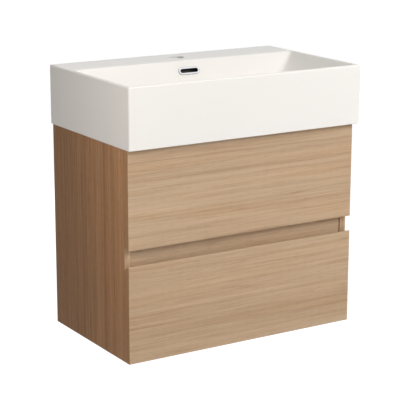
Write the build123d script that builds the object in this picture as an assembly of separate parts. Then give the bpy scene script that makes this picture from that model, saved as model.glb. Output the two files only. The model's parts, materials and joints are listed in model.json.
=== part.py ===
from build123d import *
import os
from math import cos, radians, sin, tan

# Wall-hung bathroom vanity: a ceramic box basin that sits on a two-drawer cabinet.
# Frame: +X right, +Y towards the wall, +Z up. The wall is the plane Y = 0, and the origin lies on it,
# midway between the four screws that hold the two wall plates. All sizes are in millimetres.

# Cabinet
CABINET_WIDTH = 588.0
CABINET_DEPTH = 330.5  # side panel, from the wall to its front edge
CABINET_HEIGHT = 473.0
CABINET_ABOVE_SCREWS = 64.0  # cabinet top above the wall screws' centre
BOARD = 16.0
BACK_RECESS = 20.0  # from the wall to the back rails
TOP_RAIL_DEPTH = 60.0
UPPER_BACK_RAIL_HEIGHT = 100.0
LOWER_BACK_RAIL_HEIGHT = 110.0
MIDDLE_RAIL_LAP = 12.0  # how far the middle rail runs behind each drawer front
MIDDLE_RAIL_SETBACK = 3.0
FIT = 0.15  # radial room around pins, bolts and screws in their bores

# Drawer fronts
FRONT_THICKNESS = 16.0
FRONT_GAP = 1.5  # between the side panels' edges and the closed fronts
LOWER_FRONT_HEIGHT = 218.0
FINGER_GAP = 36.0
FRONT_TOP_GAP = 2.5  # between the upper front and the basin
PULL_LIP = 4.0  # what the bevelled finger pull leaves of the front's thickness
PULL_HEIGHT = 10.0
FRONT_EDGE_RADIUS = 0.8
BUMPER_RADIUS = 4.0
BUMPER_INSET = 30.0
BODY_GAP = 0.3  # between pieces that move past each other

# Basin
BASIN_SIDE_OVERHANG = 6.0
BASIN_FRONT_OVERHANG = 17.0  # beyond the faces of the drawer fronts
BASIN_HEIGHT = 135.0
SEAL_THICKNESS = 1.0
SEAL_WIDTH = 7.0
RIM_WIDTH = 9.5
DECK_DEPTH = 103.0
DECK_THICKNESS = 14.0
BASIN_WALL = 13.0
BASIN_CORNER_RADIUS = 4.0
RIM_RADIUS = 4.0
FOOT_RADIUS = 1.5
BOWL_DEPTH = 95.0
BOWL_SHELL = 11.0
BOWL_SIDE_SLOPE = 40.0  # degrees from vertical
BOWL_FRONT_SLOPE = 12.0
BOWL_BACK_SLOPE = 20.0
BOWL_RIM_CORNER = 10.0
BOWL_FLOOR_CORNER = 18.0
BOWL_FLOOR_RADIUS = 14.0
FLOOR_FALL = 4.0
RIB_SPACING = 380.0
RIB_THICKNESS = 12.0
TAP_FROM_WALL = 56.0
TAP_HOLE_RADIUS = 17.5
TAP_PAD_RADIUS = 30.0
TAP_PAD_THICKNESS = 4.0
WASTE_FROM_WALL = 200.0
WASTE_HOLE_RADIUS = 23.0
WASTE_BOSS_RADIUS = 38.0
WASTE_SEAT_RADIUS = 33.0
WASTE_SEAT_DEPTH = 3.0
WASTE_BOSS_LIFT = 4.0
BASIN_BOLT_SPACING = 280.0
BASIN_BOLT_RADIUS = 7.0
BASIN_BOLT_DROP = 60.0  # below the basin's top

# Overflow: an oblong slot, a chamber behind the bowl and a tunnel to the waste
OVERFLOW_DROP = 23.5
OVERFLOW_WIDTH = 55.0
OVERFLOW_HEIGHT = 17.6
OVERFLOW_FLANGE = 3.0
OVERFLOW_FLANGE_THICKNESS = 2.0
OVERFLOW_SLEEVE_WALL = 1.0
OVERFLOW_SLEEVE_LENGTH = 9.0
CHAMBER_DEPTH = 10.0
CHAMBER_MARGIN = 4.0
CHAMBER_SKIN = 6.0
TUNNEL_WIDTH = 24.0
TUNNEL_HEIGHT = 10.0

# Drawer boxes
BOX_SIDE = 12.0
BOX_BOTTOM = 8.0
BOX_BOTTOM_RISE = 10.0
GROOVE_DEPTH = 6.0
GROOVE_PLAY = 0.2
REAR_SPACE = 23.5  # behind the boxes, up to the back rails
UPPER_BOX_LIFT = 4.0
UPPER_BOX_HEADROOM = 47.0
LOWER_BOX_LIFT = 14.0
LOWER_BOX_HEADROOM = 36.0
TRAP_ROOM = 50.0  # from the waste's axis to the siphon recess's front wall
TRAP_RECESS_WIDTH = 170.0
TRAP_RECESS_CORNER = 35.0
SURROUND_WALL = 8.0
SURROUND_TONGUE = 3.0
FRONT_SCREW_SPACING = 352.0
FRONT_SCREW_INSET = 35.0
FRONT_SCREW_BITE = 10.0
SCREW_RADIUS = 1.75
SCREW_HEAD_RADIUS = 4.0
SCREW_HEAD_THICKNESS = 1.8

# Telescopic runners: three rolled steel members, one inside another
RUNNER_SPACE = 13.0  # between the side panel and the drawer side
RUNNER_HEIGHT = 45.0
RUNNER_STEEL = 1.2
RUNNER_DEPTH = 10.2
RUNNER_LIP = 3.0
RUNNER_PLAY = 0.4
RUNNER_HEAD_ROOM = 2.2  # between the outer webs, for the screw heads
RUNNER_BEND_RADIUS = 1.1
RUNNER_SETBACK = 2.0
RUNNER_RISE = 60.0  # runner's axis above the bottom of its drawer box
RUNNER_SCREW_INSET = 35.0
RUNNER_SCREW_BITE = 11.0

# Cam fittings between the boards and the side panels
CAM_RADIUS = 7.5
CAM_DEPTH = 12.5
CAM_SETBACK = 24.0
CAM_BOLT_RADIUS = 3.0
CAM_BOLT_BITE = 11.0
CAM_INSET = 50.0

# Dowels beside the cams
DOWEL_RADIUS = 4.0
DOWEL_SPACING = 20.0  # from a cam to the dowels beside it
DOWEL_BITE = 11.0  # into the side panel
DOWEL_SEAT = 24.0  # into the board

# Hangers: a housing on each side panel, a hook that leaves it backwards, and a plate on the wall
HANGER_THICKNESS = 14.0
HANGER_DEPTH = 42.0
HANGER_HEIGHT = 44.0
HANGER_FROM_RAIL = 4.0
HANGER_ABOVE_HOOK = 6.0
HANGER_PEG_RADIUS = 5.0
HANGER_PEG_LENGTH = 11.0
HANGER_PEG_SPACING = 24.0
HANGER_SCREW_RADIUS = 3.5
HANGER_SCREW_LENGTH = 14.0
HOOK_THICKNESS = 4.0
HOOK_HEIGHT = 14.0
HOOK_CLAW = 3.0
HOOK_CLAW_DROP = 9.0
HOOK_PASSAGE = 3.0  # room around the hook in the back rail
PLATE_WIDTH = 60.0
PLATE_STEEL = 2.0
PLATE_FROM_PANEL = 4.0
PLATE_STANDOFF = 6.0
PLATE_SCREW_SPACING = 24.0
PLATE_SCREW_RADIUS = 3.5
PLATE_EDGE = 10.0
PLATE_JOGGLE = 6.0
PLATE_LIP = 10.0

# Derived levels and planes
CABINET_TOP = CABINET_ABOVE_SCREWS
CABINET_BOTTOM = CABINET_TOP - CABINET_HEIGHT
BASIN_BOTTOM = CABINET_TOP + SEAL_THICKNESS
BASIN_TOP = BASIN_BOTTOM + BASIN_HEIGHT
PANEL_X = CABINET_WIDTH / 2 - BOARD  # inner face of a side panel
FRONT_BACK_Y = -(CABINET_DEPTH + FRONT_GAP)
FRONT_FACE_Y = FRONT_BACK_Y - FRONT_THICKNESS
BASIN_WIDTH = CABINET_WIDTH + 2 * BASIN_SIDE_OVERHANG
BASIN_DEPTH = BASIN_FRONT_OVERHANG - FRONT_FACE_Y
RAIL_FRONT_Y = -(BACK_RECESS + BOARD)
LOWER_FRONT_TOP = CABINET_BOTTOM + LOWER_FRONT_HEIGHT
UPPER_FRONT_BOTTOM = LOWER_FRONT_TOP + FINGER_GAP
UPPER_FRONT_TOP = BASIN_BOTTOM - FRONT_TOP_GAP
MIDDLE_RAIL_BOTTOM = LOWER_FRONT_TOP - MIDDLE_RAIL_LAP
MIDDLE_RAIL_TOP = UPPER_FRONT_BOTTOM + MIDDLE_RAIL_LAP
MIDDLE_RAIL_Y = -(CABINET_DEPTH - MIDDLE_RAIL_SETBACK)
FLOOR_Z = BASIN_TOP - BOWL_DEPTH
SUMP_Z = FLOOR_Z - FLOOR_FALL
WASTE_BOSS_BOTTOM = BASIN_BOTTOM + WASTE_BOSS_LIFT
BOX_X = PANEL_X - RUNNER_SPACE  # outer face of a drawer side
BOX_BACK_Y = RAIL_FRONT_Y - REAR_SPACE
UPPER_BOX = (MIDDLE_RAIL_TOP + UPPER_BOX_LIFT, CABINET_TOP - BOARD - UPPER_BOX_HEADROOM)
LOWER_BOX = (CABINET_BOTTOM + BOARD + LOWER_BOX_LIFT, MIDDLE_RAIL_BOTTOM - LOWER_BOX_HEADROOM)
RECESS_FRONT_Y = -(WASTE_FROM_WALL + TRAP_ROOM)
RUNNER_Y = (-(CABINET_DEPTH - RUNNER_SETBACK), BOX_BACK_Y)
HOOK_BOTTOM = PLATE_SCREW_SPACING / 2 + PLATE_EDGE + PLATE_JOGGLE + PLATE_LIP
HOOK_X = PANEL_X - HANGER_THICKNESS / 2
PLATE_X = PANEL_X - PLATE_FROM_PANEL - PLATE_WIDTH / 2
SIDES = {"left": -1, "right": 1}


def block(x, y, z):
    """A box that fills the given spans along X, Y and Z."""
    low = Vector(min(x), min(y), min(z))
    high = Vector(max(x), max(y), max(z))
    size = high - low
    return Location((low + high) / 2) * Box(size.X, size.Y, size.Z)


def rod(start, end, radius):
    """A round bar from one point to another."""
    run = Vector(end) - Vector(start)
    return Plane(origin=start, z_dir=run) * Cylinder(
        radius, run.length, align=(Align.CENTER, Align.CENTER, Align.MIN)
    )


def extruded_side_view(points, x):
    """A solid whose outline in the YZ plane is given, filling a span along X."""
    start = Plane(origin=(min(x), 0, 0), x_dir=(0, 1, 0), z_dir=(1, 0, 0))
    return extrude(start * make_face(Polyline(*points, close=True)), max(x) - min(x))


def screw(point, direction, bite):
    """A flat-headed screw whose head seats at a point and whose shank runs along a direction."""
    seat = Vector(point)
    along = Vector(direction)
    head = rod(seat - along * SCREW_HEAD_THICKNESS, seat, SCREW_HEAD_RADIUS)
    return head + rod(seat, seat + along * bite, SCREW_RADIUS)


def screw_hole(point, direction, bite):
    """The bore that a screw's shank needs."""
    seat = Vector(point)
    return rod(seat, seat + Vector(direction) * (bite + FIT), SCREW_RADIUS + FIT)


# Basin

def bowl_section(depth, corner, grow, drop):
    """The bowl's rounded outline at a depth, grown sideways by a wall and lowered by a drop."""
    half = BASIN_WIDTH / 2 - RIM_WIDTH - depth * tan(radians(BOWL_SIDE_SLOPE)) + grow
    front = -(BASIN_DEPTH - RIM_WIDTH) + depth * tan(radians(BOWL_FRONT_SLOPE)) - grow
    back = -DECK_DEPTH - depth * tan(radians(BOWL_BACK_SLOPE)) + grow
    outline = RectangleRounded(2 * half, back - front, corner + grow)
    return Location((0, (front + back) / 2, BASIN_TOP - depth - drop)) * outline


def bowl_walls(grow):
    """The bowl down to its floor: the hollow itself, or with a wall to grow, the outside of its shell."""
    rim = bowl_section(0, BOWL_RIM_CORNER, grow, 0)
    floor = bowl_section(BOWL_DEPTH, BOWL_FLOOR_CORNER, grow, grow)
    return loft([rim, floor], ruled=True)


def bowl_falls(margin, drop):
    """The four falls from the floor to the waste, set in from the walls and lowered by a drop."""
    floor = bowl_section(BOWL_DEPTH, BOWL_FLOOR_CORNER, -margin, drop)
    side = 2 * (WASTE_BOSS_RADIUS + drop)
    sump = RectangleRounded(side, side, WASTE_SEAT_RADIUS + drop)
    return loft([floor, Location((0, -WASTE_FROM_WALL, SUMP_Z - drop)) * sump], ruled=True)


def bowl_hollow():
    """The bowl's hollow, with a round foot where its walls meet the floor."""
    walls = bowl_walls(0)
    foot = walls.edges().filter_by_position(Axis.Z, FLOOR_Z, FLOOR_Z)
    return fillet(foot, BOWL_FLOOR_RADIUS) + bowl_falls(BOWL_FLOOR_RADIUS, 0)


def overflow_plane():
    """Plane on the bowl's back wall at the overflow, facing into the bowl."""
    slope = radians(BOWL_BACK_SLOPE)
    y = -DECK_DEPTH - OVERFLOW_DROP * tan(slope)
    origin = (0, y, BASIN_TOP - OVERFLOW_DROP)
    return Plane(origin=origin, x_dir=(1, 0, 0), z_dir=(0, -cos(slope), sin(slope)))


def oblong(width, height, start, end):
    """An oblong plug in the overflow's plane, between two distances from the bowl's back wall."""
    plug = extrude(SlotOverall(width, height), end - start)
    return overflow_plane() * (Location((0, 0, start)) * plug)


def overflow_slot_size():
    """Width and height of the slot that the trim's sleeve fits into."""
    return (
        OVERFLOW_WIDTH - 2 * OVERFLOW_FLANGE + 2 * FIT,
        OVERFLOW_HEIGHT - 2 * OVERFLOW_FLANGE + 2 * FIT,
    )


def overflow_chamber(skin):
    """The chamber behind the bowl, or its outside when a skin is given."""
    slope = tan(radians(BOWL_BACK_SLOPE))
    top = BASIN_TOP - OVERFLOW_DROP + OVERFLOW_HEIGHT / 2 + skin
    bottom = SUMP_Z - BOWL_SHELL - TUNNEL_HEIGHT - skin
    top_back = -DECK_DEPTH - (BASIN_TOP - top) * slope + BOWL_SHELL + CHAMBER_DEPTH + skin
    bottom_back = -DECK_DEPTH - (BASIN_TOP - bottom) * slope + BOWL_SHELL + CHAMBER_DEPTH + skin
    depth = CHAMBER_DEPTH + skin
    half = OVERFLOW_WIDTH / 2 - OVERFLOW_FLANGE + CHAMBER_MARGIN + skin
    points = [
        (top_back - depth, top),
        (top_back, top),
        (bottom_back, bottom),
        (bottom_back - depth, bottom),
    ]
    return extruded_side_view(points, (-half, half))


def overflow_tunnel(skin):
    """The tunnel under the bowl's floor, from the chamber to the waste's bore."""
    top = SUMP_Z - BOWL_SHELL
    back = -DECK_DEPTH - (BASIN_TOP - top) * tan(radians(BOWL_BACK_SLOPE)) + BOWL_SHELL
    half = TUNNEL_WIDTH / 2 + skin
    return block(
        (-half, half),
        (-WASTE_FROM_WALL, back + CHAMBER_DEPTH / 2),
        (top - TUNNEL_HEIGHT - skin, top),
    )


def basin_underside():
    """The hollow under the bowl and the tap deck, open at the bottom."""
    half = BASIN_WIDTH / 2 - BASIN_WALL
    hollow = block(
        (-half, half),
        (-(BASIN_DEPTH - BASIN_WALL), -BASIN_WALL),
        (BASIN_BOTTOM, BASIN_TOP - DECK_THICKNESS),
    )
    hollow -= bowl_walls(BOWL_SHELL) + bowl_falls(0, BOWL_SHELL)
    for side in SIDES.values():
        middle = side * RIB_SPACING / 2
        rib = (middle - RIB_THICKNESS / 2, middle + RIB_THICKNESS / 2)
        hollow -= block(rib, (-BASIN_DEPTH, 0), (BASIN_BOTTOM, BASIN_TOP))
    hollow -= overflow_chamber(CHAMBER_SKIN)
    hollow -= overflow_tunnel(CHAMBER_SKIN)
    waste_top = (0, -WASTE_FROM_WALL, SUMP_Z)
    hollow -= rod((0, -WASTE_FROM_WALL, WASTE_BOSS_BOTTOM), waste_top, WASTE_BOSS_RADIUS)
    pad_bottom = BASIN_TOP - DECK_THICKNESS - TAP_PAD_THICKNESS
    hollow -= rod((0, -TAP_FROM_WALL, pad_bottom), (0, -TAP_FROM_WALL, BASIN_TOP), TAP_PAD_RADIUS)
    return hollow


def basin():
    """Ceramic basin: a box with a sloping bowl, hollow and ribbed below."""
    half = BASIN_WIDTH / 2
    body = block((-half, half), (-BASIN_DEPTH, 0), (BASIN_BOTTOM, BASIN_TOP))
    body = fillet(body.edges().filter_by(Axis.Z), BASIN_CORNER_RADIUS)
    body -= bowl_hollow()
    body = fillet(body.edges().filter_by_position(Axis.Z, BASIN_TOP, BASIN_TOP), RIM_RADIUS)
    foot = body.edges().filter_by_position(Axis.Z, BASIN_BOTTOM, BASIN_BOTTOM)
    body = fillet(foot, FOOT_RADIUS)
    body -= basin_underside()
    body -= overflow_chamber(0) + overflow_tunnel(0)
    slot_width, slot_height = overflow_slot_size()
    body -= oblong(slot_width, slot_height, -(BOWL_SHELL + CHAMBER_DEPTH / 2), OVERFLOW_FLANGE)
    body -= rod((0, -TAP_FROM_WALL, BASIN_BOTTOM), (0, -TAP_FROM_WALL, BASIN_TOP), TAP_HOLE_RADIUS)
    waste = (0, -WASTE_FROM_WALL, SUMP_Z)
    body -= rod((0, -WASTE_FROM_WALL, BASIN_BOTTOM), waste, WASTE_HOLE_RADIUS)
    body -= rod((0, -WASTE_FROM_WALL, SUMP_Z - WASTE_SEAT_DEPTH), waste, WASTE_SEAT_RADIUS)
    bolt_z = BASIN_TOP - BASIN_BOLT_DROP
    for side in SIDES.values():
        x = side * BASIN_BOLT_SPACING / 2
        body -= rod((x, -2 * BASIN_WALL, bolt_z), (x, 0, bolt_z), BASIN_BOLT_RADIUS)
    return body


def overflow_trim():
    """Oblong chrome ring with a sleeve that plugs into the overflow slot."""
    sleeve_width = OVERFLOW_WIDTH - 2 * OVERFLOW_FLANGE
    sleeve_height = OVERFLOW_HEIGHT - 2 * OVERFLOW_FLANGE
    ring = oblong(OVERFLOW_WIDTH, OVERFLOW_HEIGHT, 0, OVERFLOW_FLANGE_THICKNESS)
    ring = fillet(ring.edges().group_by(Axis.Y)[0], OVERFLOW_FLANGE_THICKNESS / 2)
    sleeve = oblong(sleeve_width, sleeve_height, -OVERFLOW_SLEEVE_LENGTH, 0)
    hole = oblong(
        sleeve_width - 2 * OVERFLOW_SLEEVE_WALL,
        sleeve_height - 2 * OVERFLOW_SLEEVE_WALL,
        -OVERFLOW_SLEEVE_LENGTH,
        OVERFLOW_FLANGE_THICKNESS,
    )
    return ring + sleeve - hole


def basin_seal():
    """Silicone bead between the cabinet's top and the basin's foot and ribs."""
    z = (CABINET_TOP, BASIN_BOTTOM)
    outer = CABINET_WIDTH / 2
    seal = block((-outer, outer), (-CABINET_DEPTH, -(CABINET_DEPTH - SEAL_WIDTH)), z)
    seal += block((-outer, outer), (RAIL_FRONT_Y, RAIL_FRONT_Y + SEAL_WIDTH), z)
    for side in SIDES.values():
        seal += block((side * outer, side * (outer - SEAL_WIDTH)), (-CABINET_DEPTH, 0), z)
    return seal


# Cabinet boards, their cam fittings and their dowels

def cam_points():
    """For each board: the Y and Z of its cam bolts, and the way that its cams are drilled from."""
    bottom = CABINET_BOTTOM + BOARD / 2
    top = CABINET_TOP - BOARD / 2
    back = RAIL_FRONT_Y + BOARD / 2
    upper_back = CABINET_TOP - UPPER_BACK_RAIL_HEIGHT + BOARD / 2 + DOWEL_SPACING
    lower_back = CABINET_BOTTOM + BOARD + LOWER_BACK_RAIL_HEIGHT / 2
    middle = (MIDDLE_RAIL_BOTTOM + MIDDLE_RAIL_TOP) / 2
    return {
        "bottom_panel": ([(-(CABINET_DEPTH - CAM_INSET), bottom), (-CAM_INSET, bottom)], (0, 0, 1)),
        "top_front_rail": ([(-(CABINET_DEPTH - TOP_RAIL_DEPTH / 2), top)], (0, 0, -1)),
        "middle_rail": ([(MIDDLE_RAIL_Y + BOARD / 2, middle)], (0, 1, 0)),
        "upper_back_rail": ([(back, upper_back)], (0, -1, 0)),
        "lower_back_rail": ([(back, lower_back)], (0, -1, 0)),
    }


def cam(side, y, z, way, radius, depth):
    """A cam, or its bore, drilled from the board's face that looks the given way."""
    centre = Vector(side * (PANEL_X - CAM_SETBACK), y, z)
    face = centre + Vector(way) * (BOARD / 2)
    return rod(face, face - Vector(way) * depth, radius)


def cam_bolt(side, y, z, radius, bite):
    """A bolt, or its bore, from inside the side panel to the rim of its cam."""
    inner = PANEL_X - CAM_SETBACK + CAM_RADIUS
    return rod((side * inner, y, z), (side * (PANEL_X + bite), y, z), radius)


def dowel_points():
    """For each board: the Y and Z of its dowels, one on each side of a cam along the board's width."""
    beside = {}
    for board, (points, way) in cam_points().items():
        y_step = abs(way[2]) * DOWEL_SPACING
        z_step = abs(way[1]) * DOWEL_SPACING
        beside[board] = [(y + up * y_step, z + up * z_step) for y, z in points for up in (-1, 1)]
    return beside


def dowel(side, y, z, grow):
    """A dowel from a board's end into the side panel, or its bore when grown."""
    inner = PANEL_X - DOWEL_SEAT - grow
    outer = PANEL_X + DOWEL_BITE + grow
    return rod((side * inner, y, z), (side * outer, y, z), DOWEL_RADIUS + grow)


def end_bores(board):
    """What the cams, bolts and dowels take out of a board, at both of its ends."""
    points, way = cam_points()[board]
    bores = []
    for side in SIDES.values():
        for y, z in points:
            bores.append(cam(side, y, z, way, CAM_RADIUS + FIT, CAM_DEPTH + FIT))
            bores.append(cam_bolt(side, y, z, CAM_BOLT_RADIUS + FIT, 0))
        for y, z in dowel_points()[board]:
            bores.append(dowel(side, y, z, FIT))
    return bores


def side_panel(side):
    """Side panel, drilled for the cam bolts, the dowels, the runners' screws and the hanger's pegs."""
    panel = block(
        (side * PANEL_X, side * (PANEL_X + BOARD)),
        (-CABINET_DEPTH, 0),
        (CABINET_BOTTOM, CABINET_TOP),
    )
    for points, _ in cam_points().values():
        for y, z in points:
            panel -= cam_bolt(side, y, z, CAM_BOLT_RADIUS + FIT, CAM_BOLT_BITE + FIT)
    for points in dowel_points().values():
        for y, z in points:
            panel -= dowel(side, y, z, FIT)
    for box in (UPPER_BOX, LOWER_BOX):
        for y in runner_screw_places():
            point = (side * PANEL_X, y, box[0] + RUNNER_RISE)
            panel -= screw_hole(point, (side, 0, 0), RUNNER_SCREW_BITE)
    for peg in hanger_pegs(side, FIT):
        panel -= peg
    return panel


def bottom_panel():
    """Bottom of the cabinet, between the side panels."""
    panel = block(
        (-PANEL_X, PANEL_X),
        (-CABINET_DEPTH, -BACK_RECESS),
        (CABINET_BOTTOM, CABINET_BOTTOM + BOARD),
    )
    return panel - end_bores("bottom_panel")


def top_front_rail():
    """Flat rail under the basin's front, between the side panels."""
    rail = block(
        (-PANEL_X, PANEL_X),
        (-CABINET_DEPTH, -(CABINET_DEPTH - TOP_RAIL_DEPTH)),
        (CABINET_TOP - BOARD, CABINET_TOP),
    )
    return rail - end_bores("top_front_rail")


def middle_rail():
    """Upright rail that closes the finger gap between the two drawer fronts."""
    rail = block(
        (-PANEL_X, PANEL_X),
        (MIDDLE_RAIL_Y, MIDDLE_RAIL_Y + BOARD),
        (MIDDLE_RAIL_BOTTOM, MIDDLE_RAIL_TOP),
    )
    return rail - end_bores("middle_rail")


def upper_back_rail():
    """Back rail under the tap deck, notched at both ends for the hanger hooks."""
    rail = block(
        (-PANEL_X, PANEL_X),
        (RAIL_FRONT_Y, -BACK_RECESS),
        (CABINET_TOP - UPPER_BACK_RAIL_HEIGHT, CABINET_TOP),
    )
    for side in SIDES.values():
        inner = side * (HOOK_X - HOOK_THICKNESS / 2 - HOOK_PASSAGE)
        z = (HOOK_BOTTOM - HOOK_PASSAGE, HOOK_BOTTOM + HOOK_HEIGHT + HOOK_PASSAGE)
        rail -= block((inner, side * PANEL_X), (RAIL_FRONT_Y, -BACK_RECESS), z)
    return rail - end_bores("upper_back_rail")


def lower_back_rail():
    """Back rail that stands on the bottom panel."""
    bottom = CABINET_BOTTOM + BOARD
    rail = block(
        (-PANEL_X, PANEL_X), (RAIL_FRONT_Y, -BACK_RECESS), (bottom, bottom + LOWER_BACK_RAIL_HEIGHT)
    )
    return rail - end_bores("lower_back_rail")


def cam_locks():
    """All the cams, one solid each."""
    return [
        cam(side, y, z, way, CAM_RADIUS, CAM_DEPTH)
        for points, way in cam_points().values()
        for y, z in points
        for side in SIDES.values()
    ]


def cam_bolts():
    """All the cam bolts, one solid each."""
    return [
        cam_bolt(side, y, z, CAM_BOLT_RADIUS, CAM_BOLT_BITE)
        for points, _ in cam_points().values()
        for y, z in points
        for side in SIDES.values()
    ]


def dowels():
    """All the dowels, one solid each."""
    return [
        dowel(side, y, z, 0)
        for points in dowel_points().values()
        for y, z in points
        for side in SIDES.values()
    ]


def bumpers():
    """Clear stops on the side panels' front edges, where the closed drawer fronts land."""
    x = PANEL_X + BOARD / 2
    landing = FRONT_BACK_Y + BODY_GAP
    levels = [
        CABINET_BOTTOM + BUMPER_INSET,
        LOWER_FRONT_TOP - BUMPER_INSET,
        UPPER_FRONT_BOTTOM + BUMPER_INSET,
        UPPER_FRONT_TOP - BUMPER_INSET,
    ]
    return [
        rod((side * x, -CABINET_DEPTH, z), (side * x, landing, z), BUMPER_RADIUS)
        for side in SIDES.values()
        for z in levels
    ]


# Hangers

def hanger_span():
    """The Y and Z spans of a hanger's housing."""
    back = RAIL_FRONT_Y - HANGER_FROM_RAIL
    top = HOOK_BOTTOM + HOOK_HEIGHT + HANGER_ABOVE_HOOK
    return (back - HANGER_DEPTH, back), (top - HANGER_HEIGHT, top)


def hanger_pegs(side, grow):
    """The housing's two pegs in the side panel, or their bores when grown."""
    y, z = hanger_span()
    middle = (z[0] + z[1]) / 2
    pegs = []
    for up in (-1, 1):
        level = middle + up * HANGER_PEG_SPACING / 2
        start = (side * PANEL_X, sum(y) / 2, level)
        end = (side * (PANEL_X + HANGER_PEG_LENGTH + grow), sum(y) / 2, level)
        pegs.append(rod(start, end, HANGER_PEG_RADIUS + grow))
    return pegs


def hanger_screw_places():
    """Z of the depth screw and of the height screw in a housing's front."""
    _, z = hanger_span()
    return (z[0] + HANGER_SCREW_LENGTH / 2, z[0] + 3 * HANGER_SCREW_LENGTH / 2)


def hanger_screw(side, z, grow):
    """An adjusting screw in the housing's front, or its bore when grown."""
    front = hanger_span()[0][0]
    return rod(
        (side * HOOK_X, front, z),
        (side * HOOK_X, front + HANGER_SCREW_LENGTH + grow, z),
        HANGER_SCREW_RADIUS + grow,
    )


def hanger_housing(side):
    """Housing pegged to the side panel, with a pocket for its hook and two screws."""
    y, z = hanger_span()
    housing = block((side * PANEL_X, side * (PANEL_X - HANGER_THICKNESS)), y, z)
    housing = fillet(housing.edges().filter_by(Axis.X), HANGER_SCREW_RADIUS)
    housing += hanger_pegs(side, 0)
    half = HOOK_THICKNESS / 2 + FIT
    pocket = block(
        (side * (HOOK_X - half), side * (HOOK_X + half)),
        (sum(y) / 2, y[1]),
        (HOOK_BOTTOM - FIT, HOOK_BOTTOM + HOOK_HEIGHT + FIT),
    )
    return housing - pocket - [hanger_screw(side, level, FIT) for level in hanger_screw_places()]


def hanger_hook(side):
    """Hook that reaches through the back rail and drops behind the wall plate's lip."""
    y, _ = hanger_span()
    lip_back = -(PLATE_STANDOFF - FIT)
    top = HOOK_BOTTOM + HOOK_HEIGHT
    points = [
        (sum(y) / 2 + FIT, HOOK_BOTTOM),
        (lip_back, HOOK_BOTTOM),
        (lip_back, HOOK_BOTTOM - HOOK_CLAW_DROP),
        (lip_back + HOOK_CLAW, HOOK_BOTTOM - HOOK_CLAW_DROP),
        (lip_back + HOOK_CLAW, top),
        (sum(y) / 2 + FIT, top),
    ]
    x = (side * (HOOK_X - HOOK_THICKNESS / 2), side * (HOOK_X + HOOK_THICKNESS / 2))
    return extruded_side_view(points, x)


def wall_plate(side):
    """Steel plate on the wall, joggled forward at the top into the lip that carries the hook."""
    bottom = -(PLATE_SCREW_SPACING / 2 + PLATE_EDGE)
    bend = PLATE_SCREW_SPACING / 2 + PLATE_EDGE
    lip_front = -(PLATE_STANDOFF + PLATE_STEEL)
    points = [
        (0, bottom),
        (0, bend),
        (-PLATE_STANDOFF, bend + PLATE_JOGGLE),
        (-PLATE_STANDOFF, HOOK_BOTTOM),
        (lip_front, HOOK_BOTTOM),
        (lip_front, bend + PLATE_JOGGLE - PLATE_STEEL / 2),
        (-PLATE_STEEL, bend - PLATE_STEEL / 2),
        (-PLATE_STEEL, bottom),
    ]
    x = side * PLATE_X
    plate = extruded_side_view(points, (x - PLATE_WIDTH / 2, x + PLATE_WIDTH / 2))
    for up in (-1, 1):
        z = up * PLATE_SCREW_SPACING / 2
        plate -= rod((x, -PLATE_STEEL, z), (x, 0, z), PLATE_SCREW_RADIUS)
    return plate


def hanger_screws():
    """The four adjusting screws of the two hangers."""
    return [hanger_screw(side, z, 0) for side in SIDES.values() for z in hanger_screw_places()]


# Telescopic runners

def runner_screw_places():
    """Y of the two screws in each runner member."""
    return (RUNNER_Y[0] + RUNNER_SCREW_INSET, RUNNER_Y[1] - RUNNER_SCREW_INSET)


def rolled_member(points, side, level):
    """A rolled steel member: points give its section's middle line, in from the side panel and up."""
    line = FilletPolyline(*points, radius=RUNNER_BEND_RADIUS)
    section = Plane.XZ * trace(line, line_width=RUNNER_STEEL)
    member = extrude(section, RUNNER_Y[1] - RUNNER_Y[0], dir=(0, -1, 0))
    member = Location((-PANEL_X, RUNNER_Y[1], level)) * member
    return mirror(member, about=Plane.YZ) if side > 0 else member


def channel_points(web, mouth, height):
    """Middle line of a lipped channel that opens towards the drawer."""
    half = (height - RUNNER_STEEL) / 2
    lip = half - RUNNER_STEEL / 2 - RUNNER_LIP
    back = web + RUNNER_STEEL / 2
    front = mouth - RUNNER_STEEL / 2
    return [(front, lip), (front, half), (back, half), (back, -half), (front, -half), (front, -lip)]


def middle_member_height():
    """Height of the middle member, which slides inside the cabinet member."""
    return RUNNER_HEIGHT - 2 * (RUNNER_STEEL + RUNNER_PLAY)


def runner_cabinet_member(side, box):
    """Outer channel, screwed to the side panel."""
    level = box[0] + RUNNER_RISE
    member = rolled_member(channel_points(0, RUNNER_DEPTH, RUNNER_HEIGHT), side, level)
    for y in runner_screw_places():
        member -= screw_hole((side * (PANEL_X - RUNNER_STEEL), y, level), (side, 0, 0), RUNNER_STEEL)
    return member


def runner_middle_member(side, box):
    """Middle channel, which travels half as far as the drawer."""
    web = RUNNER_STEEL + RUNNER_HEAD_ROOM
    mouth = RUNNER_DEPTH - RUNNER_STEEL - RUNNER_PLAY
    points = channel_points(web, mouth, middle_member_height())
    return rolled_member(points, side, box[0] + RUNNER_RISE)


def runner_drawer_member(side, box):
    """Inner member, screwed to the drawer side, with lips held inside the middle channel."""
    level = box[0] + RUNNER_RISE
    lip = 2 * RUNNER_STEEL + RUNNER_HEAD_ROOM + RUNNER_PLAY + RUNNER_STEEL / 2
    web = RUNNER_SPACE - RUNNER_STEEL / 2
    tip = middle_member_height() / 2 - RUNNER_STEEL - RUNNER_PLAY
    half = middle_member_height() / 2 - RUNNER_STEEL - RUNNER_LIP - RUNNER_PLAY - RUNNER_STEEL / 2
    points = [(lip, tip), (lip, half), (web, half), (web, -half), (lip, -half), (lip, -tip)]
    member = rolled_member(points, side, level)
    for y in runner_screw_places():
        point = (side * (BOX_X + RUNNER_STEEL), y, level)
        member -= screw_hole(point, (-side, 0, 0), RUNNER_STEEL)
    return member


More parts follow.
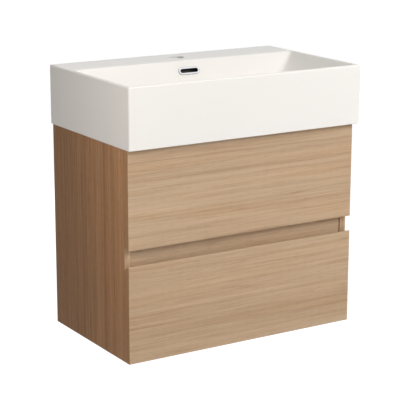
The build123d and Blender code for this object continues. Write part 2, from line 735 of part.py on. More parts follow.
def runner_cabinet_screws():
    """The screws that hold the cabinet members to the side panels."""
    return [
        screw((side * (PANEL_X - RUNNER_STEEL), y, box[0] + RUNNER_RISE), (side, 0, 0), RUNNER_SCREW_BITE)
        for side in SIDES.values()
        for box in (UPPER_BOX, LOWER_BOX)
        for y in runner_screw_places()
    ]


def runner_drawer_screws(box):
    """The screws that hold a drawer's two runner members to its sides."""
    return [
        screw((side * (BOX_X + RUNNER_STEEL), y, box[0] + RUNNER_RISE), (-side, 0, 0), BOX_SIDE - FIT)
        for side in SIDES.values()
        for y in runner_screw_places()
    ]


# Drawers

def drawer_front(bottom, top, pull_at_top):
    """Drawer front with a bevelled finger pull behind its edge at the finger gap."""
    pull, far, sign = (top, bottom, -1) if pull_at_top else (bottom, top, 1)
    points = [
        (FRONT_FACE_Y, pull),
        (FRONT_FACE_Y + PULL_LIP, pull),
        (FRONT_BACK_Y, pull + sign * PULL_HEIGHT),
        (FRONT_BACK_Y, far),
        (FRONT_FACE_Y, far),
    ]
    half = CABINET_WIDTH / 2
    front = extruded_side_view(points, (-half, half))
    face = front.edges().filter_by_position(Axis.Y, FRONT_FACE_Y, FRONT_FACE_Y)
    return fillet(face, FRONT_EDGE_RADIUS)


def front_screw_places(box):
    """X and Z of the screws that hold a drawer front to its box."""
    levels = (box[0] + FRONT_SCREW_INSET, box[1] - FRONT_SCREW_INSET)
    return [(side * FRONT_SCREW_SPACING / 2, z) for side in SIDES.values() for z in levels]


def drilled_front(box, bottom, top, pull_at_top):
    """A drawer front with the blind holes for its fixing screws."""
    front = drawer_front(bottom, top, pull_at_top)
    for x, z in front_screw_places(box):
        front -= screw_hole((x, FRONT_BACK_Y, z), (0, -1, 0), FRONT_SCREW_BITE)
    return front


def upper_drawer_front():
    """Front under the basin, pulled open by its lower edge."""
    return drilled_front(UPPER_BOX, UPPER_FRONT_BOTTOM, UPPER_FRONT_TOP, False)


def lower_drawer_front():
    """Front at the foot of the cabinet, pulled open by its upper edge."""
    return drilled_front(LOWER_BOX, CABINET_BOTTOM, LOWER_FRONT_TOP, True)


def inner_front(box):
    """Front board of a drawer box, grooved for the bottom and drilled for the front's screws."""
    half = BOX_X - BOX_SIDE
    board = block((-half, half), (FRONT_BACK_Y, FRONT_BACK_Y + BOX_SIDE), box)
    board -= bottom_groove(box)
    for x, z in front_screw_places(box):
        board -= screw_hole((x, FRONT_BACK_Y + BOX_SIDE, z), (0, -1, 0), BOX_SIDE)
    return board


def front_screws(box):
    """Screws from inside the box into the drawer front."""
    seat = FRONT_BACK_Y + BOX_SIDE
    return [
        screw((x, seat, z), (0, -1, 0), BOX_SIDE + FRONT_SCREW_BITE)
        for x, z in front_screw_places(box)
    ]


def bottom_panel_span(box, play):
    """The spans of a drawer's bottom, or of its groove when play is added."""
    half = BOX_X - BOX_SIDE + GROOVE_DEPTH - GROOVE_PLAY + play
    front = FRONT_BACK_Y + BOX_SIDE - GROOVE_DEPTH + GROOVE_PLAY - play
    low = box[0] + BOX_BOTTOM_RISE
    return (-half, half), (front, BOX_BACK_Y), (low - play, low + BOX_BOTTOM + play)


def bottom_groove(box):
    """The groove that runs round the box's sides and inner front."""
    return block(*bottom_panel_span(box, GROOVE_PLAY))


def drawer_side(side, box):
    """Side of a drawer box, grooved for the bottom and drilled for the runner's screws."""
    board = block((side * BOX_X, side * (BOX_X - BOX_SIDE)), (FRONT_BACK_Y, BOX_BACK_Y), box)
    board -= bottom_groove(box)
    for y in runner_screw_places():
        point = (side * BOX_X, y, box[0] + RUNNER_RISE)
        board -= screw_hole(point, (-side, 0, 0), BOX_SIDE)
    return board


def back_span(box):
    """The Y and Z spans of a drawer's back, which stands on the bottom."""
    return (BOX_BACK_Y - BOX_SIDE, BOX_BACK_Y), (box[0] + BOX_BOTTOM_RISE + BOX_BOTTOM, box[1])


def trap_recess(grow, z):
    """The U-shaped space for the waste trap, open at the drawer's back, grown by a wall."""
    half = TRAP_RECESS_WIDTH / 2 + grow
    form = block((-half, half), (RECESS_FRONT_Y - grow, BOX_BACK_Y), z)
    corners = form.edges().filter_by(Axis.Z).group_by(Axis.Y)[0]
    return fillet(corners, TRAP_RECESS_CORNER + grow)


def upper_drawer_bottom():
    """Bottom of the upper drawer, cut out for the waste trap."""
    x, y, z = bottom_panel_span(UPPER_BOX, 0)
    return block(x, y, z) - trap_recess(SURROUND_TONGUE + GROOVE_PLAY, z)


def trap_surround():
    """Moulded U-shaped wall round the trap recess, with a tongue that drops into the bottom's cut-out."""
    _, _, z = bottom_panel_span(UPPER_BOX, 0)
    wall_z = (z[1], UPPER_BOX[1])
    wall = trap_recess(SURROUND_WALL, wall_z) - trap_recess(0, wall_z)
    tongue = trap_recess(SURROUND_TONGUE, z) - trap_recess(0, z)
    return wall + tongue


def upper_drawer_back(side):
    """One of the two short backs beside the trap surround."""
    y, z = back_span(UPPER_BOX)
    inner = TRAP_RECESS_WIDTH / 2 + SURROUND_WALL
    return block((side * inner, side * (BOX_X - BOX_SIDE)), y, z)


def lower_drawer_back():
    """Back of the lower drawer."""
    y, z = back_span(LOWER_BOX)
    half = BOX_X - BOX_SIDE
    return block((-half, half), y, z)


def lower_drawer_bottom():
    """Bottom of the lower drawer."""
    return block(*bottom_panel_span(LOWER_BOX, 0))


def parts():
    """Every sub-part by its node's name."""
    made = {
        "basin": basin(),
        "overflow_trim": overflow_trim(),
        "basin_seal": basin_seal(),
        "bottom_panel": bottom_panel(),
        "top_front_rail": top_front_rail(),
        "middle_rail": middle_rail(),
        "upper_back_rail": upper_back_rail(),
        "lower_back_rail": lower_back_rail(),
        "cam_locks": Compound(cam_locks()),
        "cam_bolts": Compound(cam_bolts()),
        "dowels": Compound(dowels()),
        "front_bumpers": Compound(bumpers()),
        "hanger_screws": Compound(hanger_screws()),
        "runner_cabinet_screws": Compound(runner_cabinet_screws()),
        "upper_drawer_front": upper_drawer_front(),
        "upper_drawer_bottom": upper_drawer_bottom(),
        "trap_surround": trap_surround(),
        "lower_drawer_front": lower_drawer_front(),
        "lower_drawer_bottom": lower_drawer_bottom(),
        "lower_drawer_back": lower_drawer_back(),
    }
    for name, side in SIDES.items():
        made[f"side_panel_{name}"] = side_panel(side)
        made[f"hanger_housing_{name}"] = hanger_housing(side)
        made[f"hanger_hook_{name}"] = hanger_hook(side)
        made[f"wall_plate_{name}"] = wall_plate(side)
        made[f"upper_drawer_back_{name}"] = upper_drawer_back(side)
    for drawer, box in {"upper": UPPER_BOX, "lower": LOWER_BOX}.items():
        made[f"{drawer}_drawer_inner_front"] = inner_front(box)
        made[f"{drawer}_drawer_front_screws"] = Compound(front_screws(box))
        made[f"{drawer}_drawer_runner_screws"] = Compound(runner_drawer_screws(box))
        for name, side in SIDES.items():
            made[f"{drawer}_drawer_side_{name}"] = drawer_side(side, box)
            made[f"{drawer}_runner_cabinet_member_{name}"] = runner_cabinet_member(side, box)
            made[f"{drawer}_runner_middle_member_{name}"] = runner_middle_member(side, box)
            made[f"{drawer}_runner_drawer_member_{name}"] = runner_drawer_member(side, box)
    return made


os.makedirs("parts", exist_ok=True)
for node, shape in parts().items():
    export_step(shape, f"parts/{node}.step")
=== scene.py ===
import json
from math import cos, pi, radians, sin, tan

import bmesh
import bpy
from mathutils import Matrix, Vector

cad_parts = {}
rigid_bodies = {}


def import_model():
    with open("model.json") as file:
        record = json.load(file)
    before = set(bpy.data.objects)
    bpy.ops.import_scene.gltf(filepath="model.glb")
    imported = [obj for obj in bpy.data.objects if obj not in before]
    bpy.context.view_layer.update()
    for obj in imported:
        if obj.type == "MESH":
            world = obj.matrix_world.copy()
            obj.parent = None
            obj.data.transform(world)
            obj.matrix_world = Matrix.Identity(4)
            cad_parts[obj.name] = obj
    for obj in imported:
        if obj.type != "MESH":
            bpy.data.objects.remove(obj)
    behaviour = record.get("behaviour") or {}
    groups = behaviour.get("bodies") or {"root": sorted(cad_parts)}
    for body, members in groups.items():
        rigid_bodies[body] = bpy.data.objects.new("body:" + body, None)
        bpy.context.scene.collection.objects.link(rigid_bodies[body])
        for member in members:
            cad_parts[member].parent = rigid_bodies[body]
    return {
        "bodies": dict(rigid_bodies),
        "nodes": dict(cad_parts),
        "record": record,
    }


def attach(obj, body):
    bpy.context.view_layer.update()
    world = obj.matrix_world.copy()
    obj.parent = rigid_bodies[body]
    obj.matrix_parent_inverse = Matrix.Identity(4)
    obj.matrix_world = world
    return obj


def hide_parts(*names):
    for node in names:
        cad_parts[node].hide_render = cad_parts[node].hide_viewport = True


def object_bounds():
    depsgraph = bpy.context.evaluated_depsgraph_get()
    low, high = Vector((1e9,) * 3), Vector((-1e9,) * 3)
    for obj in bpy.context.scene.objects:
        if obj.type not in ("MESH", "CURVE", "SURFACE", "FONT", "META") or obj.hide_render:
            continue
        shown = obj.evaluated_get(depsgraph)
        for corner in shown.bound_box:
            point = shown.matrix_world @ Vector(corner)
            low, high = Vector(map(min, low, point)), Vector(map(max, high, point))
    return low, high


# Wall-hung vanity, dressed on its CAD frame. All lengths are in metres, in the frame's own axes:
# +X right, +Y towards the wall, +Z up.

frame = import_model()
cad_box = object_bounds()
nodes = frame["nodes"]
SLOTS = {part["node"]: part["material_slot"] for part in frame["record"]["subparts"]}
BODIES = {
    node: name
    for name, body in frame["bodies"].items()
    for node in nodes
    if nodes[node].parent == body
}
WHITE = (1.0, 1.0, 1.0)

# Camera, as fitted to the straight edges in the photograph
CAMERA_PLACE = Vector((-1.75728, -2.99359, 0.70990))
CAMERA_AZIMUTH = radians(32.016)  # to the left of the vanity's front
CAMERA_DIP = radians(14.164)
CAMERA_ROLL = radians(0.155)
SENSOR = 36.0
LENS = 130.05

# Light: an even, dim world and five softboxes. Each looks at its target from an azimuth, counted from the
# vanity's front to the right, and a rise above level, both in degrees. Its power is in watts.
AMBIENT = 0.06
BACKGROUND = 1.0
MIDDLE = (0.0, -0.33, -0.05)
LEFT_SIDE = (-0.294, -0.28, -0.10)
SOFTBOXES = {
    "key": dict(target=MIDDLE, azimuth=24, rise=33, distance=2.6, width=1.6, height=1.2, power=47.5),
    "front": dict(target=MIDDLE, azimuth=8, rise=-6, distance=2.6, width=1.4, height=1.3, power=11.3),
    "overhead": dict(target=MIDDLE, azimuth=-60, rise=82, distance=2.6, width=1.2, height=1.2, power=20.0),
    "side": dict(target=LEFT_SIDE, azimuth=-65, rise=35, distance=0.8, width=0.4, height=0.4, power=2.45),
    "rear": dict(target=MIDDLE, azimuth=170, rise=4, distance=2.6, width=1.4, height=1.2, power=18.0),
}
MIRRORED = ("overhead",)  # softboxes that show in reflections
WARM = ("side",)  # softboxes with a slightly warm light
WARM_WHITE = (1.0, 0.94, 0.88)

# The room's floor
FLOOR_DROP = 0.24  # from the cabinet's underside
FLOOR_HALF = 12.0
FLOOR_GREY = (0.8, 0.8, 0.8)
FLOOR_GLOW = 1.34
FLOOR_GLOW_SHARE = 0.75  # the rest of what is seen directly is lit, and keeps the vanity's shadow

# Colours, linear
CERAMIC = (0.877, 0.85, 0.81)
# Lit and shaded copies of one oak: painted light and sheen on faces to the front, painted shade on faces to
# a side
OAK_LIT_FRONT_TONE = (0.534, 0.374, 0.246)  # faces that look to the front
OAK_SHADED_SIDE_TONE = (0.452, 0.240, 0.118)  # faces that look to a side
OAK_CARCASS = (0.545, 0.332, 0.187)  # boards inside the cabinet and in the finger gap
LAMINATE = (0.47, 0.455, 0.43)
CHROME = (0.86, 0.865, 0.88)
RUNNER_STEEL = (0.62, 0.63, 0.64)
PLATE_STEEL = (0.60, 0.61, 0.62)
ZINC = (0.58, 0.58, 0.57)
# nearly black: a painted shadow line along the joint under the basin
SEAL_PAINTED_SHADOW_DARK = (0.05, 0.042, 0.036)
HANGER_PLASTIC = (0.78, 0.78, 0.76)
SURROUND_PLASTIC = (0.58, 0.57, 0.55)
BUMPER = (0.72, 0.72, 0.70)

# Noise: the span in which most of its values lie, and how fine an even material's relief is next to its
# patches
NOISE_SPAN = (0.3, 0.7)
RELIEF_FINENESS = 6
FACING = 0.7  # how much a face's normal has of an axis for the face to look along it

# Wood: the colours that multiply a decor's tone, then the waves per metre along and across the grain and
# the strength of each part of its figure
WOOD_DARK = (0.466, 0.366, 0.279)
WOOD_MIDDLE = (0.752, 0.704, 0.649)
WOOD_LIGHT = WHITE
WOOD_WARM = (1.0, 0.975, 0.93)
WOOD_COOL = (0.985, 1.0, 1.0)
WARMTH = (2.4, 34, 34)
BANDS = (0.7, 22, 22)
BAND_SHARE = 0.30
STREAKS = (1.3, 130, 130)
STREAK_SHARE = 0.50
FIBRES = (9, 360, 360)
FIBRE_SHARE = 0.42
FIBRE_ROUGHNESS = 0.6
GROWTH_LINES = (0.9, 46, 46)
LINE_WIDTH = 0.016
LINE_DEPTH = 0.16
LINE_BREAKS = (3.5, 70, 70)
LINE_BREAK_SPAN = (0.42, 0.62)
PORES = (45, 1500, 1500)
PORE_SPAN = (0.60, 0.68)
PORE_DEPTH = 0.16
PORE_RELIEF = 2.0  # next to the fibres' relief
WOOD_GLOSS = 0.08
WOOD_ROUGHNESS = (0.46, 0.56)
WOOD_RELIEF = 0.00004
# Painted shade: a side panel's colour darkens towards the wall
SIDE_PAINTED_WALL_SHADE = (0.70, 1.09)  # a side panel's brightness at the wall and at its front edge
PAINTED_WALL_SHADE_SPAN = (-0.33, 0.0)  # Y of the front edge and of the wall

# Glaze
GLAZE_GLOSS = 0.3
GLAZE_CLOUDS = (4, 4, 4)
GLAZE_SHADES = (0.993, 1.003)
CLOUD_SPAN = (0.2, 0.8)
GLAZE_RIPPLES = (25, 25, 25)
GLAZE_ROUGHNESS = (0.34, 0.36)
GLAZE_RELIEF = 0.00002

# Painted shade in the basin's overflow channel: its colour is darkened there. It lies between two distances
# behind the bowl's sloping back wall, and that wall's Y is -BOWL_BACK at z 0.
BOWL_BACK_SLOPE = radians(20)
DECK_DEPTH = 0.103
BASIN_TOP = cad_box[1].z
BOWL_BACK = DECK_DEPTH + BASIN_TOP * tan(BOWL_BACK_SLOPE)
CHANNEL = (0.0105, 0.0215)
CHANNEL_HALF = 0.029
CHANNEL_TOP = 0.1855
# share of brightness left in the channel's painted shade
CHANNEL_PAINTED_SHADE = 0.10

# Metals
TRIM_AXIS = (0.0, -cos(BOWL_BACK_SLOPE), sin(BOWL_BACK_SLOPE))  # the way the overflow trim's face looks
# Painted dark reflections on the trim's edges and painted shade in its bore
TRIM_PAINTED_EDGE_SHADE = 0.15
TRIM_FACE_SPAN = (0.5, 0.97)  # how much of that way a normal has on the trim's edges and on its face
TRIM_PATCHES = (120, 120, 120)
TRIM_SHADES = (0.98, 1.02)
TRIM_ROUGHNESS = (0.07, 0.12)
TRIM_RELIEF = 0.000003
DRAWN_LINES = (12, 900, 900)
LINE_SHARE = 0.75  # the rest of the pattern is the plating's patches
PLATING_PATCHES = (70, 70, 70)
DRAWN_SPAN = (0.35, 0.65)
DRAWN_SHADES = (0.93, 1.05)
DRAWN_RELIEF = 0.00001

# Small fasteners. A profile runs from the outer face inwards, as heights and shares of the radius, and a
# recess has its reach as a share of the radius, then its width and depth.
STEPS = 24
WELD = 0.000001
END_FACE = 0.0005  # points this near to a solid's end are on its end face
SHARP_EDGE = radians(32)
THREAD_ROWS = 6  # in each turn
THREAD_FLANK = 3.2  # how fast a thread falls away from its crest
RECESS_FLOOR_REACH = 0.55  # shares of the recess's reach and width that are left at its floor
RECESS_FLOOR_WIDTH = 0.73
SCREW_HEAD = 0.0018
SCREW_PROFILE = ((0.0, 0.66), (-0.0002, 0.82), (-0.0006, 0.95), (-0.0012, 1.0), (-SCREW_HEAD, 1.0))
SCREW_SHANK = 0.00175
SCREW_NECK = 0.0005
SCREW_PITCH = 0.0014
SCREW_THREAD = 0.00055
SCREW_TAPER = 0.003  # from the thread's end to the tip
SCREW_TIP = ((0.001, 0.0006), (0.0, 0.0002))  # distances from the tip, and radii
SCREW_RECESS = (0.55, 0.0009, 0.0011)
ADJUSTER_PROFILE = ((0.0, 0.82), (-0.0006, 0.98), (-0.0015, 0.98))
ADJUSTER_NECK = 0.002
ADJUSTER_PITCH = 0.00125
ADJUSTER_THREAD = 0.0005
ADJUSTER_RECESS = (0.66, 0.0011, 0.0018)
CAM_PROFILE = ((0.0, 0.94), (-0.0004, 1.0), (-0.0022, 1.0), (-0.0025, 0.86), (-0.0095, 0.86))
CAM_FOOT = 0.96  # share of the radius
CAM_FOOT_TOP = -0.0098
CAM_RECESS = (0.6, 0.0023, 0.0032)
CABINET_MIDDLE = Vector((0.0, -0.17, -0.17))
DOME_ROWS = 8  # from its pole to its foot. The first one drawn is the rim of its flat top.
DOME_FIRST_ROW = 2
DOME_FULLNESS = 0.8


def world_axis(azimuth, rise):
    """Unit vector out of the vanity, to the right of its front by an azimuth and up by a rise."""
    return Vector((sin(azimuth) * cos(rise), -cos(azimuth) * cos(rise), sin(rise)))


def opaque(colour):
    """A colour with full alpha."""
    return (*colour, 1.0)


def tint(colour, factor):
    """A colour made darker or lighter."""
    return tuple(min(1.0, channel * factor) for channel in colour)


# Nodes that more than one kind of shader tree needs

def compute(tree, operation, first, second=0.0):
    """A sum on two values, each an output or a number."""
    made = tree.nodes.new("ShaderNodeMath")
    made.operation = operation
    for socket, value in zip(made.inputs, (first, second)):
        if isinstance(value, (int, float)):
            socket.default_value = value
        else:
            tree.links.new(value, socket)
    return made.outputs[0]


def blend(tree, share, first, second):
    """One shader, and by a share the other."""
    made = tree.nodes.new("ShaderNodeMixShader")
    for socket, output in zip(made.inputs, (share, first, second)):
        tree.links.new(output, socket)
    return made.outputs[0]


def seen_directly(tree):
    """1 for camera, glossy and transmission rays, which see the plain background."""
    rays = tree.nodes.new("ShaderNodeLightPath").outputs
    seen = compute(tree, "MAXIMUM", rays["Is Camera Ray"], rays["Is Glossy Ray"])
    return compute(tree, "MAXIMUM", seen, rays["Is Transmission Ray"])


# Camera, light and floor

def add_camera():
    """The photograph's own view."""
    forward = -world_axis(-CAMERA_AZIMUTH, CAMERA_DIP)
    level_right = Vector((cos(CAMERA_AZIMUTH), -sin(CAMERA_AZIMUTH), 0.0))
    level_up = level_right.cross(forward)
    right = cos(CAMERA_ROLL) * level_right + sin(CAMERA_ROLL) * level_up
    up = cos(CAMERA_ROLL) * level_up - sin(CAMERA_ROLL) * level_right
    turn = Matrix((right, up, -forward)).transposed().to_4x4()
    data = bpy.data.cameras.new("camera")
    data.sensor_width = SENSOR
    data.lens = LENS
    camera = bpy.data.objects.new("camera", data)
    camera.matrix_world = Matrix.Translation(CAMERA_PLACE) @ turn
    bpy.context.scene.collection.objects.link(camera)
    bpy.context.scene.camera = camera


def add_softbox(name, target, azimuth, rise, distance, width, height, power):
    """An area lamp that looks at a point, itself out of every picture. Only a mirrored one is reflected."""
    data = bpy.data.lights.new(name, "AREA")
    data.shape = "RECTANGLE"
    data.size = width
    data.size_y = height
    data.energy = power
    if name in WARM:
        data.color = WARM_WHITE
    lamp = bpy.data.objects.new(name, data)
    away = world_axis(radians(azimuth), radians(rise))
    lamp.location = Vector(target) + away * distance
    lamp.visible_camera = False
    lamp.visible_glossy = name in MIRRORED
    lamp.rotation_mode = "QUATERNION"
    lamp.rotation_quaternion = away.to_track_quat("Z", "Y")
    bpy.context.scene.collection.objects.link(lamp)


def add_world():
    """Even white light, in front of a white background."""
    world = bpy.data.worlds.new("studio")
    world.use_nodes = True
    tree = world.node_tree
    tree.nodes.clear()
    whites = []
    for strength in (AMBIENT, BACKGROUND):
        shader = tree.nodes.new("ShaderNodeBackground")
        shader.inputs["Color"].default_value = opaque(WHITE)
        shader.inputs["Strength"].default_value = strength
        whites.append(shader.outputs[0])
    output = tree.nodes.new("ShaderNodeOutputWorld")
    tree.links.new(blend(tree, seen_directly(tree), *whites), output.inputs["Surface"])
    bpy.context.scene.world = world
    bpy.context.scene.view_settings.view_transform = "Standard"


def floor_material():
    """White floor that melts into the background, keeps the vanity's shadow and is clear from below."""
    made = bpy.data.materials.new("floor")
    made.use_nodes = True
    tree = made.node_tree
    tree.nodes.clear()
    matt = tree.nodes.new("ShaderNodeBsdfDiffuse")
    matt.inputs["Color"].default_value = opaque(FLOOR_GREY)
    glow = tree.nodes.new("ShaderNodeEmission")
    glow.inputs["Strength"].default_value = FLOOR_GLOW
    share = compute(tree, "MULTIPLY", seen_directly(tree), FLOOR_GLOW_SHARE)
    above = blend(tree, share, matt.outputs[0], glow.outputs[0])
    side = tree.nodes.new("ShaderNodeNewGeometry")
    clear = tree.nodes.new("ShaderNodeBsdfTransparent")
    either = blend(tree, side.outputs["Backfacing"], above, clear.outputs[0])
    output = tree.nodes.new("ShaderNodeOutputMaterial")
    tree.links.new(either, output.inputs["Surface"])
    return made


def add_floor():
    """The room's floor, below the hanging cabinet."""
    level = cad_box[0].z - FLOOR_DROP
    mesh = bpy.data.meshes.new("floor")
    corners = [(-1, -1), (1, -1), (1, 1), (-1, 1)]
    mesh.from_pydata([(x * FLOOR_HALF, y * FLOOR_HALF, level) for x, y in corners], [], [(0, 1, 2, 3)])
    floor = bpy.data.objects.new("floor", mesh)
    floor.data.materials.append(floor_material())
    bpy.context.scene.collection.objects.link(floor)


# Materials

class Surface:
    """A material under a Principled shader, with short calls for the nodes that feed it.

    The constants go on the shader's own sockets.
    """

    MIX_SOCKETS = {"RGBA": (6, 7, 2), "VECTOR": (4, 5, 1)}  # the mix node's two inputs and output, by kind

    def __init__(self, name, **constants):
        self.material = bpy.data.materials.new(name)
        self.material.use_nodes = True
        self.tree = self.material.node_tree
        self.shader = self.tree.nodes["Principled BSDF"]
        self.coordinates = self.node("ShaderNodeTexCoord").outputs
        for socket, value in constants.items():
            self.shader.inputs[socket.replace("_", " ")].default_value = value

    def node(self, kind, **settings):
        made = self.tree.nodes.new(kind)
        for key, value in settings.items():
            setattr(made, key, value)
        return made

    def link(self, source, target):
        self.tree.links.new(source, target)

    def feed(self, socket, source):
        """Drives one of the shader's sockets."""
        self.link(source, self.shader.inputs[socket])

    def math(self, operation, first, second=0.0):
        """A sum on two values, each an output or a number."""
        return compute(self.tree, operation, first, second)

    def noise(self, vector, stretch, detail=2.0, roughness=0.5):
        """Noise over a vector, with its own number of waves per metre along each axis."""
        mapping = self.node("ShaderNodeMapping")
        mapping.inputs["Scale"].default_value = stretch
        self.link(vector, mapping.inputs["Vector"])
        made = self.node("ShaderNodeTexNoise")
        made.inputs["Scale"].default_value = 1.0
        made.inputs["Detail"].default_value = detail
        made.inputs["Roughness"].default_value = roughness
        self.link(mapping.outputs[0], made.inputs["Vector"])
        return made.outputs["Fac"]

    def between(self, value, low, high, start=0.0, end=1.0):
        """Maps a value's span from start to end onto a span from low to high, and clamps it."""
        made = self.node("ShaderNodeMapRange")
        made.inputs["From Min"].default_value = start
        made.inputs["From Max"].default_value = end
        made.inputs["To Min"].default_value = low
        made.inputs["To Max"].default_value = high
        self.link(value, made.inputs["Value"])
        return made.outputs["Result"]

    def ramp(self, value, stops):
        """Colours by value: stops are (place, colour)."""
        made = self.node("ShaderNodeValToRGB")
        band = made.color_ramp
        while len(band.elements) < len(stops):
            band.elements.new(0.5)
        for element, (place, colour) in zip(band.elements, stops):
            element.position = place
            element.color = opaque(colour)
        self.link(value, made.inputs["Fac"])
        return made.outputs["Color"]

    def shades(self, value, colour, darker, lighter, span):
        """A colour that goes from a darker to a lighter shade over a value's span."""
        start, end = span
        return self.ramp(value, [(start, tint(colour, darker)), (end, tint(colour, lighter))])

    def mix(self, kind, factor, first, second):
        """From one colour or vector to another by a factor. A tuple is a constant."""
        made = self.node("ShaderNodeMix", data_type=kind)
        *places, result = self.MIX_SOCKETS[kind]
        self.link(factor, made.inputs["Factor"])
        for place, value in zip(places, (first, second)):
            if isinstance(value, tuple):
                made.inputs[place].default_value = value
            else:
                self.link(value, made.inputs[place])
        return made.outputs[result]

    def split(self, output):
        """The three axes of one of the texture coordinates."""
        made = self.node("ShaderNodeSeparateXYZ")
        self.link(self.coordinates[output], made.inputs[0])
        return made.outputs

    def facing(self, axis):
        """1 on the faces that look along an axis, either way."""
        return self.math("GREATER_THAN", self.math("ABSOLUTE", self.split("Normal")[axis]), FACING)

    def within(self, value, low, high):
        """1 where a value lies between two others."""
        above = self.math("GREATER_THAN", value, low)
        return self.math("MULTIPLY", above, self.math("LESS_THAN", value, high))

    def off_centre(self, value):
        """How far a noise lies from its middle value."""
        return self.math("ABSOLUTE", self.math("SUBTRACT", value, 0.5))

    def times(self, first, second):
        """One colour multiplied by another, or by a grey value."""
        made = self.node("ShaderNodeMix", data_type="RGBA", blend_type="MULTIPLY")
        first_place, second_place, result = self.MIX_SOCKETS["RGBA"]
        made.inputs["Factor"].default_value = 1.0
        self.link(first, made.inputs[first_place])
        self.link(second, made.inputs[second_place])
        return made.outputs[result]

    def bump(self, height, depth):
        """Relief of a depth in metres."""
        made = self.node("ShaderNodeBump")
        made.inputs["Strength"].default_value = 1.0
        made.inputs["Distance"].default_value = depth
        self.link(height, made.inputs["Height"])
        self.feed("Normal", made.outputs["Normal"])


def mottled(name, colour, spread, waves, relief, roughness, **constants):
    """An even material whose colour, gloss and surface vary a little."""
    made = Surface(name, **constants)
    place = made.coordinates["Object"]
    patches = made.noise(place, (waves,) * 3, detail=3.0)
    made.feed("Base Color", made.shades(patches, colour, 1 - spread, 1 + spread, NOISE_SPAN))
    made.feed("Roughness", made.between(patches, *roughness, *NOISE_SPAN))
    made.bump(made.noise(place, (waves * RELIEF_FINENESS,) * 3, detail=3.0), relief)
    return made.material


def along_grain(surface, grain, band):
    """Coordinates whose first axis runs along the grain, or along the edge band on the board's ends."""
    place = surface.split("Object")
    turned = []
    for first in (grain, band):
        others = [axis for axis in "XYZ" if axis != first]
        vector = surface.node("ShaderNodeCombineXYZ")
        for socket, axis in zip(vector.inputs, (first, *others)):
            surface.link(place[axis], socket)
        turned.append(vector.outputs[0])
    return surface.mix("VECTOR", surface.facing(grain), *turned)


def wood(name, grain, band, lit_and_shaded_tones, figure=1.0, painted_wall_shade=None):
    """Straight-grained oak decor: broad tones, streaks, fibres, thin dark growth lines and short pores.

    The tones are the decor's own, the one on faces that look along an axis, and that axis. They are lit and
    shaded
    copies of one oak: the second is painted shade on faces that look to a side, painted light on faces that
    look to the front. A painted wall shade gives the brightness at the wall and at the front of a board
    that runs between them, darker towards the wall.
    """
    made = Surface(name, Specular_IOR_Level=WOOD_GLOSS)
    place = along_grain(made, grain, band)
    bands = made.noise(place, BANDS, detail=1.0)
    streaks = made.noise(place, STREAKS, detail=2.0)
    fibres = made.noise(place, FIBRES, detail=2.0, roughness=FIBRE_ROUGHNESS)
    lines = made.off_centre(made.noise(place, GROWTH_LINES, detail=1.0))
    breaks = made.noise(place, LINE_BREAKS, detail=1.0)
    faded = made.between(breaks, 0.0, LINE_DEPTH, *LINE_BREAK_SPAN)
    line = made.math("MULTIPLY", made.between(lines, 1.0, 0.0, 0.0, LINE_WIDTH), faded)
    level = made.math("SUBTRACT", 0.5, line)
    for part, share in ((bands, BAND_SHARE), (streaks, STREAK_SHARE), (fibres, FIBRE_SHARE)):
        swing = made.math("SUBTRACT", part, 0.5)
        level = made.math("ADD", level, made.math("MULTIPLY", swing, share * figure))
    figured = made.ramp(level, [(0.0, WOOD_DARK), (0.5, WOOD_MIDDLE), (1.0, WOOD_LIGHT)])
    warm, cool = NOISE_SPAN
    warmth = made.ramp(made.noise(place, WARMTH, detail=1.0), [(warm, WOOD_WARM), (cool, WOOD_COOL)])
    pores = made.noise(place, PORES, detail=1.0)
    pores = made.between(pores, 1.0, 1.0 - PORE_DEPTH * figure, *PORE_SPAN)
    colour = made.times(made.times(figured, warmth), pores)
    # Painted light and shade: faces that look along the axis take the oak's other, lit or shaded, copy
    own, painted_across_tone, axis = lit_and_shaded_tones
    shades = [opaque(wanted / usual for wanted, usual in zip(tone, WOOD_MIDDLE)) for tone in (own, painted_across_tone)]
    colour = made.times(colour, made.mix("RGBA", made.facing(axis), *shades))
    # Painted shade, darker towards the wall
    if painted_wall_shade:
        at_wall, at_front = painted_wall_shade
        shade = made.between(made.split("Object")["Y"], at_front, at_wall, *PAINTED_WALL_SHADE_SPAN)
        colour = made.times(colour, shade)
    made.feed("Base Color", colour)
    made.feed("Roughness", made.between(streaks, *WOOD_ROUGHNESS, *NOISE_SPAN))
    made.bump(made.math("ADD", fibres, made.math("MULTIPLY", pores, PORE_RELIEF)), WOOD_RELIEF)
    return made.material


def ceramic():
    """White glaze: a soft, slightly wavy gloss over an even body, with painted shade in the overflow's
    channel.
    """
    made = Surface("glazed_ceramic", Specular_IOR_Level=GLAZE_GLOSS)
    place = made.coordinates["Object"]
    clouds = made.noise(place, GLAZE_CLOUDS, detail=1.0)
    white = made.shades(clouds, CERAMIC, *GLAZE_SHADES, CLOUD_SPAN)
    # Painted shade: the overflow channel behind the back wall is darkened
    at = made.split("Object")
    behind = made.math("ADD", at["Y"], BOWL_BACK)
    behind = made.math("SUBTRACT", behind, made.math("MULTIPLY", at["Z"], tan(BOWL_BACK_SLOPE)))
    below = made.math("LESS_THAN", at["Z"], CHANNEL_TOP)
    channel = made.math("MULTIPLY", made.within(behind, *CHANNEL), below)
    channel = made.math("MULTIPLY", channel, made.within(at["X"], -CHANNEL_HALF, CHANNEL_HALF))
    made.feed("Base Color", made.times(white, made.between(channel, 1.0, CHANNEL_PAINTED_SHADE)))
    made.feed("Roughness", made.between(clouds, *GLAZE_ROUGHNESS, *CLOUD_SPAN))
    made.bump(made.noise(place, GLAZE_RIPPLES, detail=1.0), GLAZE_RELIEF)
    return made.material


